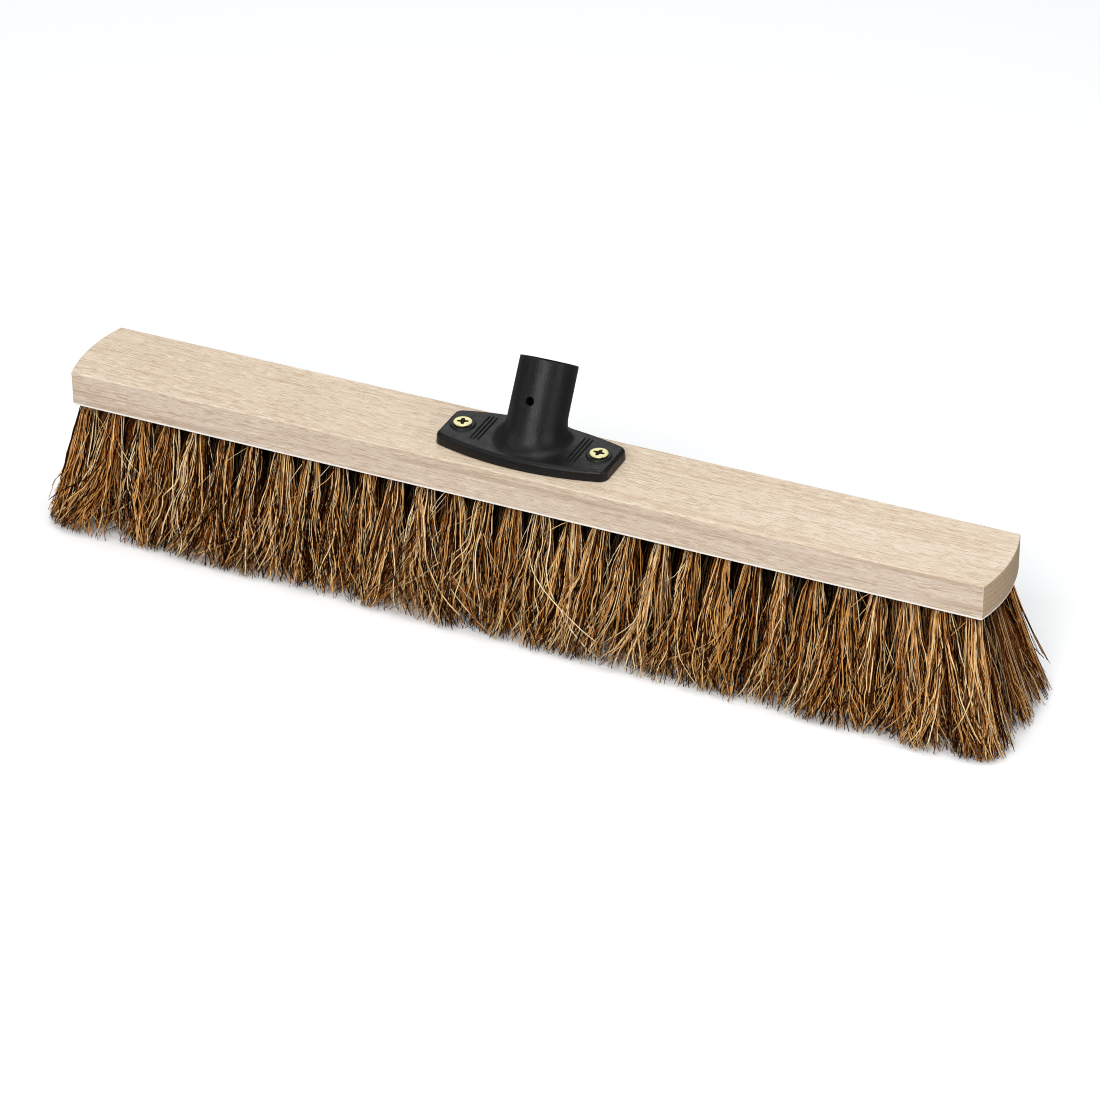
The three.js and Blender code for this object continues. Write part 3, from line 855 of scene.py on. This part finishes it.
def cross_recess(x, turn):
    """A four-armed cutter that narrows downwards."""
    rings = []
    for height, reach, wide, inner in RECESS:
        centre = Vector((x, 0, Z_TOP + (SCREW_TOP + height) * MM))
        ring = []
        for arm in range(4):
            a = turn + arm * math.pi / 2
            out = Vector((math.cos(a), math.sin(a), 0))
            side = Vector((-math.sin(a), math.cos(a), 0))
            for u, v in ((inner, -inner), (reach * 0.88, -wide), (reach, -wide * 0.6),
                         (reach, wide * 0.6), (reach * 0.88, wide)):
                ring.append(centre + (out * u + side * v) * MM)
        rings.append(ring)
    return bridge(rings)


def wood_thread(x):
    """One ridge wound round the shank."""
    pitch, low, high = 1.7 * MM, -7.6 * MM, 1.6 * MM
    shank, point_top, point = SHANK * MM, POINT_TOP * MM, POINT * MM
    turns = (high - low) / pitch
    steps = int(turns * 20)
    rings = []
    for k in range(steps + 1):
        t = k / steps
        a = 2 * math.pi * turns * t
        z = low + (high - low) * t
        on_shank = z > point_top
        cone = max(0.2 * MM, shank * (z - point) / (point_top - point))
        core = shank if on_shank else cone
        ease = min(1.0, t * 8, (1 - t) * 10)
        crest = core + 0.48 * MM * max(ease, 0.05) * (1.0 if on_shank else 0.75)
        root = core - 0.15 * MM
        half = 0.34 * MM * max(ease, 0.2)
        radial = Vector((math.cos(a), math.sin(a), 0))
        centre = Vector((x, 0, Z_TOP + z))
        rings.append([centre + radial * radius + Vector((0, 0, rise)) for radius, rise in (
            (root, -half), (crest, -half * 0.12), (crest, half * 0.12), (root, half))])
    return bridge(rings)


def build_screw(piece, x, turn):
    ob = new_object(f"{piece}_zinc", *lathe(SCREW_PROFILE, 56, Vector((x, 0, Z_TOP))))
    boolean(ob, "cut", [cross_recess(x, turn)])
    boolean(ob, "add", [wood_thread(x)])
    finish_piece(ob, ZINC, piece, sharp_angle=35)


# ---------------------------------------------------------------- anchors
def staple(x, y):
    """Flat wire bent over the folded fibres at the bottom of a tuft's hole."""
    half_span, top = 2.6 * MM, Z_UNDER + 8.3 * MM
    path = [Vector((x - half_span, y, top - 4.8 * MM))]
    for k in range(9):
        a = math.pi * k / 8
        path.append(Vector((x - half_span * math.cos(a), y,
                            top - 1.6 * MM + 1.0 * MM * math.sin(a))))
    path.append(Vector((x + half_span, y, top - 4.8 * MM)))
    side = Vector((0, 1, 0))
    rings = []
    for k, point in enumerate(path):
        tangent = (path[min(k + 1, len(path) - 1)] - path[max(k - 1, 0)]).normalized()
        up = side.cross(tangent)
        rings.append([point + side * (0.85 * MM * math.cos(b)) + up * (0.28 * MM * math.sin(b))
                      for b in [2 * math.pi * i / 6 for i in range(6)]])
    return bridge(rings)


def build_anchors():
    parts = [staple(x, ROW_Y[row]) for row in range(ROWS) for x in tuft_places(row)]
    ob = new_object("tuft_anchors", *join_parts(parts))
    ob.data.materials.append(STEEL)
    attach(ob, "brush_head")


# ---------------------------------------------------------------- strand meshes
SIDES = 3


def strand_mesh(paths, radii, shade):
    """Closed three-sided fibres from paths (fibre, ring, xyz) and radii (fibre, ring)."""
    count, rings, _ = paths.shape
    tangent = np.gradient(paths, axis=1)
    tangent /= np.linalg.norm(tangent, axis=2, keepdims=True) + 1e-12
    y_axis = np.zeros_like(tangent)
    y_axis[..., 1] = 1.0
    side = np.cross(tangent, y_axis)
    side /= np.linalg.norm(side, axis=2, keepdims=True) + 1e-12
    other = np.cross(tangent, side)
    phase = np.random.default_rng(77).uniform(0, 2 * np.pi, count)
    verts = np.empty((count, rings, SIDES, 3))
    for i in range(SIDES):
        a = (phase + 2 * np.pi * i / SIDES)[:, None, None]
        verts[:, :, i] = paths + radii[..., None] * (np.cos(a) * side + np.sin(a) * other)

    first = np.arange(count) * rings * SIDES
    corner = np.arange(SIDES)
    low = first[:, None, None] + (np.arange(rings - 1) * SIDES)[None, :, None]
    here, following = low + corner, low + (corner + 1) % SIDES
    quads = np.stack([here, here + SIDES, following + SIDES, following], axis=-1).reshape(-1, 4)
    root_cap = first[:, None] + corner
    tip_cap = first[:, None] + (rings - 1) * SIDES + corner[::-1]
    loops = np.concatenate([quads.ravel(), root_cap.ravel(), tip_cap.ravel()])
    starts = np.concatenate([np.arange(len(quads)) * 4,
                             len(quads) * 4 + np.arange(2 * count) * SIDES])
    return verts.reshape(-1, 3), loops, starts, strand_uvs(shade, count, rings)


def strand_uvs(shade, count, rings):
    """One column of the map per tone, with v along the fibre."""
    column = np.floor(shade * SHADES).clip(0, SHADES - 1)
    left, right = (column + 0.02) / SHADES, (column + 0.98) / SHADES
    v = np.linspace(0.004, 0.996, rings)
    shape = (count, rings - 1, SIDES)
    u_low, u_high = (np.broadcast_to(u[:, None, None], shape) for u in (left, right))
    v_low, v_high = (np.broadcast_to(part[None, :, None], shape) for part in (v[:-1], v[1:]))
    corners = [(u_low, v_low), (u_low, v_high), (u_high, v_high), (u_high, v_low)]
    quads = np.stack([np.stack(corner, -1) for corner in corners], axis=-2).reshape(-1, 2)

    def cap(v_start):
        points = [np.stack([left + (right - left) * across, np.full(count, v_start + up)], -1)
                  for across, up in ((0, 0), (1, 0), (0.5, 0.003))]
        return np.stack(points, axis=1).reshape(-1, 2)

    return np.concatenate([quads, cap(0.0), cap(0.996)])


def strand_object(name, data, coat):
    verts, loops, starts, uvs = data
    mesh = bpy.data.meshes.new(name)
    mesh.vertices.add(len(verts))
    mesh.vertices.foreach_set("co", verts.astype(np.float32).ravel())
    mesh.loops.add(len(loops))
    mesh.loops.foreach_set("vertex_index", loops.astype(np.int32))
    mesh.polygons.add(len(starts))
    mesh.polygons.foreach_set("loop_start", starts.astype(np.int32))
    mesh.update(calc_edges=True)
    shade_smooth(mesh)
    uv_map = mesh.uv_layers.new(name=STRAND_UV)
    uv_map.data.foreach_set("uv", uvs.astype(np.float32).ravel())
    mesh.materials.append(coat)
    mesh.validate()
    return link_object(name, mesh)


# ---------------------------------------------------------------- bristles
ROW_SPREAD = 1.83                       # how far apart the rows stand at the tips, over the roots
LEAN_RIGHT = (17.5, 21.0, 18.5, 17.0, 9.0)      # outward lean by row at the +X end, in mm
LEAN_LEFT = (9.5, 10.5, 11.5, 12.0, 12.0)       # the same at the -X end
TUFT_MOUTH, FLY_MOUTH = 3.75 * MM, 3.6 * MM     # radius of the fibres where they leave the hole
LOCKS = 10                              # locks of fibres in a tuft
RINGS_SEEN, RINGS_HIDDEN = 16, 11
# fibres per tuft
FIBRES_END, FIBRES_SEEN, FIBRES_HIDDEN = 235, 158, 92
# points inside the hole: shares of the mouth's x and y, and height above its rim
ROOT_POINTS = ((0.55, 0.75, 7.6 * MM), (0.92, 0.95, 3.2 * MM))


def tip_lean(row, x):
    """How far a tuft's tip leans outwards, towards the ends of the broom."""
    t = max(0.0, (abs(x) - 168 * MM) / (72 * MM))
    reach = (LEAN_RIGHT if x > 0 else LEAN_LEFT)[row]
    return math.copysign(1, x) * reach * MM * t ** 1.5


def add_root(paths, x, y, mouth_x, mouth_y):
    """Puts the part inside the hole before the free part of each path."""
    root = [np.stack([x + mouth_x * share_x, y + mouth_y * share_y,
                      np.full(len(mouth_x), Z_UNDER + height)], -1)
            for share_x, share_y, height in ROOT_POINTS]
    return np.concatenate([np.stack(root, 1), paths], 1)


def keep_inside(px, py, s, slack):
    """Eases the outermost fibres back onto the brush's outline, a rounded oblong that grows
    towards the tips."""
    half_x = (244.3 + (22.6 - 5.5 * slack) * np.where(px > 0, s ** 1.35, s)) * MM
    # the front bulges towards the +X end, and two opposite corners are rounder
    towards_end = 2.0 * np.clip(px / 0.200, -1, 1) * (1 - smoothstep(0.228, 0.262, px))
    bulge = np.where(py < 0, 1.6 + towards_end, 0.8)
    half_y = (23.0 + (20.8 + bulge - 2.8 * slack) * s) * MM
    corner = (4.0 + np.where(px * py > 0, 25.0, 14.0) * s) * MM
    past_x, past_y = np.abs(px) - (half_x - corner), np.abs(py) - (half_y - corner)
    dx, dy = np.maximum(past_x, 0), np.maximum(past_y, 0)
    radius = np.hypot(dx, dy)
    over = np.maximum(radius - corner, 0)
    # a tenth of the overshoot stays
    pull = np.where(over > 0, (corner + over * 0.10) / np.maximum(radius, 1e-9), 1.0)
    px = np.where(past_x > 0, np.sign(px) * (half_x - corner + dx * pull), px)
    py = np.where(past_y > 0, np.sign(py) * (half_y - corner + dy * pull), py)
    return px, py


def draw_locks(rng):
    """Place, lean, curl and wave of each lock; the draws follow this order."""
    lock = SimpleNamespace()
    lock.x = rng.uniform(-1, 1, LOCKS) * TUFT_MOUTH
    lock.y = rng.uniform(-1, 1, LOCKS) * TUFT_MOUTH
    lock.lean_x = rng.normal(0, 2.2 * MM, LOCKS)
    lock.lean_y = rng.normal(0, 1.9 * MM, LOCKS)
    lock.curl_x = rng.normal(0, 5.4 * MM, LOCKS)
    # about a quarter of the locks are swept towards -X
    swept = rng.uniform(0, 1, LOCKS) < 0.26
    lock.curl_x[swept] = rng.normal(-11.0 * MM, 7.0 * MM, swept.sum())
    lock.curl_y = rng.normal(0, 1.6 * MM, LOCKS)
    lock.wave = rng.normal(0, 0.9 * MM, (LOCKS, 2))
    lock.phase = rng.uniform(0, 6.28, LOCKS)
    return lock


def add_waves(rng, px, py, s, travelled, wave, lock_phase):
    """Long waves shared by a lock, short waves of each fibre, and kinks at each ring."""
    column = (len(px), 1)
    free = s / (s + 0.10)
    phase = lock_phase[:, None] + rng.normal(0, 0.5, column)
    length = rng.uniform(26, 46, column) * MM
    turn = 2 * np.pi * travelled / length + phase
    px += free * wave[:, :1] * np.sin(turn)
    py += free * wave[:, 1:] * np.cos(turn) * 0.7
    length = rng.uniform(13, 22, column) * MM
    turn = 2 * np.pi * travelled / length + rng.uniform(0, 6.28, column)
    px += free * rng.normal(0, 0.56 * MM, column) * np.sin(turn)
    py += free * rng.normal(0, 0.40 * MM, column) * np.cos(turn)
    px += free * rng.normal(0, 0.21 * MM, px.shape)
    py += free * rng.normal(0, 0.16 * MM, py.shape)


def strand_looks(rng, outwards, s, count):
    """Radii and shades. outwards is 0 at the tuft's middle and 1 at its rim."""
    thick = np.clip(rng.lognormal(math.log(0.215), 0.27, count), 0.11, 0.38)
    taper = np.concatenate([[0.85, 0.95],
                            np.interp(s, [0, 0.3, 0.85, 1], [0.95, 1.05, 0.95, 0.70])])
    # random tones; then painted shade: fibres inside the tuft are made darker and those at its rim
    # lighter, standing in for the shade within the tuft
    kind = rng.uniform(0, 1, count)
    shade = np.select(
        [kind < 0.38, kind < 0.62, kind < 0.87],
        [rng.uniform(0.0, 0.26, count), rng.uniform(0.26, 0.60, count),
         rng.uniform(0.60, 0.86, count)],
        rng.uniform(0.86, 0.999, count),
    )
    shade *= 0.72 + 0.32 * np.clip(outwards, 0, 1)
    # the pale fibres are the stout ones
    thick = thick * (0.92 + 0.36 * shade) * MM
    unevenness = 1 + rng.normal(0, 0.08, (count, len(taper)))
    return thick[:, None] * taper[None, :] * unevenness, np.clip(shade, 0.002, 0.998)


def tuft_strands(row, x0, rng, count, rings):
    """One tuft's fibres: from the bottom of the hole, out of its mouth, fanning out to the
    trimmed plane."""
    y0 = ROW_Y[row]
    radius = np.sqrt(rng.uniform(0, 1, count)) * TUFT_MOUTH
    angle = rng.uniform(0, 2 * np.pi, count)
    mouth_x, mouth_y = radius * np.cos(angle), radius * np.sin(angle)
    lock = draw_locks(rng)
    # each fibre joins the nearest lock
    own = np.argmin((mouth_x[:, None] - lock.x) ** 2 + (mouth_y[:, None] - lock.y) ** 2, axis=1)

    # tips: the tuft's own lean, its fan (wider near the broom's ends), the lock and the fibre
    whole_x, whole_y = rng.normal(0, 1.8 * MM), rng.normal(0, 1.3 * MM)
    near_end = float(smoothstep(205 * MM, 232 * MM, abs(x0)))
    fan_x, fan_y = (11.4 + 3.0 * near_end) * MM, (9.4 + 3.4 * near_end) * MM
    settle = (-1.4 - 1.6 * np.clip(x0 / 0.200, -1, 1)) * MM if row < 2 else 0.0
    tip_x = (x0 + tip_lean(row, x0) + whole_x + mouth_x / TUFT_MOUTH * fan_x
             + lock.lean_x[own] + rng.normal(0, 1.7 * MM, count))
    tip_y = (y0 * ROW_SPREAD + settle + whole_y + mouth_y / TUFT_MOUTH * fan_y
             + lock.lean_y[own] + rng.normal(0, 1.4 * MM, count))
    curl_x = lock.curl_x[own] + rng.normal(0, 4.2 * MM, count)
    wild = rng.uniform(0, 1, count) < 0.20
    curl_x[wild] += rng.normal(0, 11.0 * MM, wild.sum())
    curl_y = lock.curl_y[own] + rng.normal(0, 1.2 * MM, count)
    # trimmed plane, a little uneven, with some fibres cut or broken short
    tip_z = np.abs(rng.normal(0, 0.6 * MM, count)) + rng.uniform(0.1 * MM, 0.5 * MM, count)
    short = rng.uniform(0, 1, count) < 0.15
    tip_z[short] += rng.uniform(1 * MM, 15 * MM, short.sum())
    # a sideways curl also lifts the tip
    tip_z += np.abs(curl_x) * 0.10

    s = np.linspace(0, 1, rings)
    travelled = (Z_UNDER - tip_z)[:, None] * s
    exit_x, exit_y = x0 + mouth_x * 1.02, y0 + mouth_y * 1.02
    bow_x = rng.normal(0.12, 0.22, count)[:, None]
    bow_y = rng.normal(0.40, 0.16, count)[:, None]
    px = exit_x[:, None] + (tip_x - exit_x)[:, None] * (s * (1 + bow_x * (1 - s)))
    py = exit_y[:, None] + (tip_y - exit_y)[:, None] * (s * (1 + bow_y * (1 - s)))
    curl_start = rng.uniform(0.15, 0.55, count)[:, None]
    bend = np.clip((s - curl_start) / (1 - curl_start), 0, 1) ** 2
    px += curl_x[:, None] * bend
    py += curl_y[:, None] * bend
    add_waves(rng, px, py, s, travelled, lock.wave[own], lock.phase[own])
    px, py = keep_inside(px, py, s[None, :], slack=rng.uniform(0, 1, (count, 1)) ** 1.5)
    paths = add_root(np.stack([px, py, Z_UNDER - travelled], -1), x0, y0, mouth_x, mouth_y)
    radii, shade = strand_looks(rng, radius / TUFT_MOUTH, s, count)
    return paths, radii, shade


def fly_aways(row, x0, rng, rings):
    """Loose pale fibres that sweep sideways over their neighbours, or None."""
    outer = row in (0, ROWS - 1)
    count = rng.poisson(2.6 if outer else 0.7)
    if count == 0:
        return None
    face = -1 if row < 2 else (1 if row > 2 else rng.choice([-1, 1]))
    y0 = ROW_Y[row]
    mouth_x = rng.uniform(-1, 1, count) * FLY_MOUTH
    mouth_y = (face * rng.uniform(0.2, 0.9, count) * FLY_MOUTH
               * np.sqrt(np.clip(1 - (mouth_x / FLY_MOUTH) ** 2, 0, 1)))
    # more of them sweep towards -X; near the ends all sweep inwards
    side = np.where(rng.uniform(0, 1, count) < 0.64, -1.0, 1.0)
    if abs(x0) > 0.200:
        side[:] = -np.sign(x0)
    reach = rng.gamma(2.2, 8.5, count).clip(5, 52) * MM
    # a fifth of them end well above the floor
    drop = np.where(rng.uniform(0, 1, count) < 0.2, rng.uniform(0.25, 0.6, count),
                    rng.uniform(0.7, 1.0, count))

    def surface(depth):
        """Distance of the row's outer face from the middle plane, depth 0 to 1."""
        return abs(y0) + FLY_MOUTH + (abs(y0) * (ROW_SPREAD - 1) + 4.5 * MM) * depth

    start = np.stack([x0 + mouth_x, y0 + mouth_y, np.full(count, Z_UNDER)], -1)
    tip = np.stack([
        x0 + tip_lean(row, x0) * drop + side * reach,
        face * (surface(drop) + rng.uniform(-3.0 * MM, 1.6 * MM, count)),
        Z_UNDER * (1 - drop) + rng.uniform(0.4 * MM, 3 * MM, count),
    ], -1)
    # control points: some fibres leave sideways and droop, others hang and then sweep
    early = rng.uniform(0, 1, count) < 0.45
    part_x = np.where(early, rng.uniform(0.45, 0.8, count), rng.uniform(0.0, 0.25, count))
    part_z = np.where(early, rng.uniform(0.15, 0.45, count), rng.uniform(0.5, 0.85, count))
    control = start.copy()
    control[:, 0] += (tip[:, 0] - start[:, 0]) * part_x
    control[:, 2] += (tip[:, 2] - start[:, 2]) * part_z
    depth = (Z_UNDER - control[:, 2]) / Z_UNDER
    control[:, 1] = face * (surface(depth) + rng.uniform(-0.5 * MM, 2.6 * MM, count))
    s = np.linspace(0, 1, rings)
    t = s[None, :, None]
    path = (1 - t) ** 2 * start[:, None] + 2 * t * (1 - t) * control[:, None] + t * t * tip[:, None]
    path[:, 1:] += rng.normal(0, 0.12 * MM, path[:, 1:].shape)
    path[..., 2] = np.clip(path[..., 2], 0.3 * MM, None)
    paths = add_root(path, x0, y0, mouth_x, mouth_y)
    thick = rng.uniform(0.12, 0.24, count) * MM
    taper = np.concatenate([[0.8, 1.0], np.interp(s, [0, 0.5, 1], [1.0, 1.0, 0.6])])
    return paths, thick[:, None] * taper[None, :], rng.uniform(0.74, 0.998, count)


def build_clump(row, clump, places):
    """Up to three neighbouring tufts as one object."""
    rng = np.random.default_rng(1000 * (row + 1) + clump)
    outer = row in (0, ROWS - 1)
    at_end = abs(places[0] + places[-1]) / 2 > 0.185
    seen = outer or at_end
    rings = RINGS_SEEN if seen else RINGS_HIDDEN
    count = FIBRES_END if at_end else FIBRES_SEEN if seen else FIBRES_HIDDEN
    coat = COIR if outer else COIR_END_SHADED if seen else COIR_INNER_SHADED
    data = []
    for x in places:
        data.append(tuft_strands(row, x, rng, count, rings))
        loose = fly_aways(row, x, rng, rings)
        if loose is not None:
            data.append(loose)
    paths, radii, shade = map(np.concatenate, zip(*data))
    ob = strand_object(f"coir_row{row + 1}_{clump + 1:02d}",
                       strand_mesh(paths, radii, shade), coat)
    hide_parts(f"row{row + 1}_tufts_{clump + 1:02d}")
    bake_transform(ob)


def build_bristles():
    for row in range(ROWS):
        places = tuft_places(row)
        clumps = math.ceil(len(places) / 3)
        # a row that doesn't divide by three has a shorter clump at one or both ends
        missing = (clumps * 3 - len(places)) // 2
        for clump in range(clumps):
            first = max(0, clump * 3 - missing)
            build_clump(row, clump, places[first:(clump + 1) * 3 - missing])


# ---------------------------------------------------------------- stage, lights and camera
def floor_material():
    """Pale card, brighter to the camera than as a light from below. Far off it melts into
    the backdrop."""
    coat, graph, shader = new_material("floor")
    rays = graph.new("ShaderNodeLightPath")
    seen = rays.outputs["Is Camera Ray"]
    distance = graph.vector_math("LENGTH", graph.position(), output="Value")
    far = graph.fade(distance, between=(0.9, 2.0))
    indirect = graph.mix((0.58, 0.58, 0.59), (0.20, 0.20, 0.20), rays.outputs["Is Glossy Ray"])
    near = graph.mix(indirect, (0.985, 0.987, 0.99), seen)
    glow = graph.remap(far, between=(0, 1), to=(0.03, 0.98))
    dress(graph, shader,
          Base_Color=graph.mix(near, (0.02, 0.02, 0.02), graph.product(far, seen)),
          Roughness=0.9,
          Specular_IOR_Level=0.03,
          Emission_Color=(0.97, 0.975, 0.98),
          Emission_Strength=graph.product(seen, glow))
    return coat


def build_stage():
    bm = bmesh.new()
    bmesh.ops.create_grid(bm, x_segments=2, y_segments=2, size=6.0)
    for vert in bm.verts:
        vert.co.z = -0.6 * MM
    ob = from_bmesh("floor", bm)
    ob.data.materials.append(floor_material())


def area_light(name, place, target, size, power, colour):
    light = bpy.data.lights.new(name, "AREA")
    light.energy = power
    light.color = colour
    light.shape = "RECTANGLE"
    light.size, light.size_y = size
    ob = link_object(name, light)
    ob.location = place
    ob.rotation_euler = (Vector(target) - Vector(place)).to_track_quat("-Z", "Y").to_euler()


def build_world():
    world = bpy.data.worlds.new("studio")
    bpy.context.scene.world = world
    world.use_nodes = True
    graph = Graph(world.node_tree)
    background = world.node_tree.nodes["Background"]
    rays = graph.new("ShaderNodeLightPath")
    seen = rays.outputs["Is Camera Ray"]
    indirect = graph.remap(rays.outputs["Is Glossy Ray"], between=(0, 1), to=(0.32, 0.16))
    dress(graph, background,
          Color=graph.mix((0.90, 0.95, 1.0), (0.97, 0.975, 0.98), seen),
          Strength=graph.math("MAXIMUM", indirect, seen))


def build_lights():
    area_light("key", place=(0.30, -2.0, 1.45), target=(0, 0, 0.04), size=(1.3, 1.3),
               power=39.5, colour=(1.0, 0.985, 0.965))
    area_light("left", place=(-1.6, -1.0, 1.3), target=(0, 0, 0.06), size=(0.5, 1.0),
               power=5, colour=(1.0, 0.99, 0.97))
    area_light("side", place=(1.8, -0.45, 0.8), target=(0, 0, 0.08), size=(0.22, 1.0),
               power=8.5, colour=(1, 1, 1))
    area_light("top", place=(0.0, 0.25, 2.2), target=(0, 0, 0.05), size=(0.9, 0.9),
               power=17, colour=(1, 0.995, 0.985))
    area_light("back", place=(-0.95, 2.0, 1.35), target=(0, 0, 0.08), size=(1.2, 1.2),
               power=7, colour=(1, 1, 1))


def build_camera():
    """Looks down at the block's underside centre from the front, right of the middle."""
    azimuth, elevation, roll = (math.radians(a) for a in (25.33, 31.32, -0.555))
    distance = 2.19071
    back = Vector((math.sin(azimuth) * math.cos(elevation),
                   -math.cos(azimuth) * math.cos(elevation), math.sin(elevation)))
    forward = -back
    level_right = forward.cross(Z_AXIS).normalized()
    level_up = level_right.cross(forward)
    right = level_right * math.cos(roll) + level_up * math.sin(roll)
    up = -level_right * math.sin(roll) + level_up * math.cos(roll)
    camera = bpy.data.cameras.new("camera")
    ob = link_object("camera", camera)
    rotation = Matrix((right, up, back)).transposed().to_4x4()
    target = Vector((0, 0, Z_UNDER))
    ob.matrix_world = Matrix.Translation(target + back * distance) @ rotation
    camera.sensor_fit = "HORIZONTAL"
    camera.sensor_width = 36
    camera.lens = 144.7573091
    camera.shift_x = 0.01734
    camera.shift_y = -0.0604290909
    camera.clip_end = 50
    bpy.context.scene.camera = ob


def set_view():
    scene = bpy.context.scene
    scene.view_settings.view_transform = "Standard"
    scene.view_settings.look = "None"
    scene.view_settings.exposure = 0.0
    scene.view_settings.gamma = 1.0
    # the settings exist only where the Cycles add-on is loaded
    if hasattr(scene, "cycles"):
        scene.cycles.filter_width = 1.0


build_block()
build_socket()
build_screw("plate_screw_left", SCREW_PLACES[0], turn=0.35)
build_screw("plate_screw_right", SCREW_PLACES[1], turn=-0.05)
build_anchors()
build_bristles()
build_stage()
build_world()
build_lights()
build_camera()
set_view()
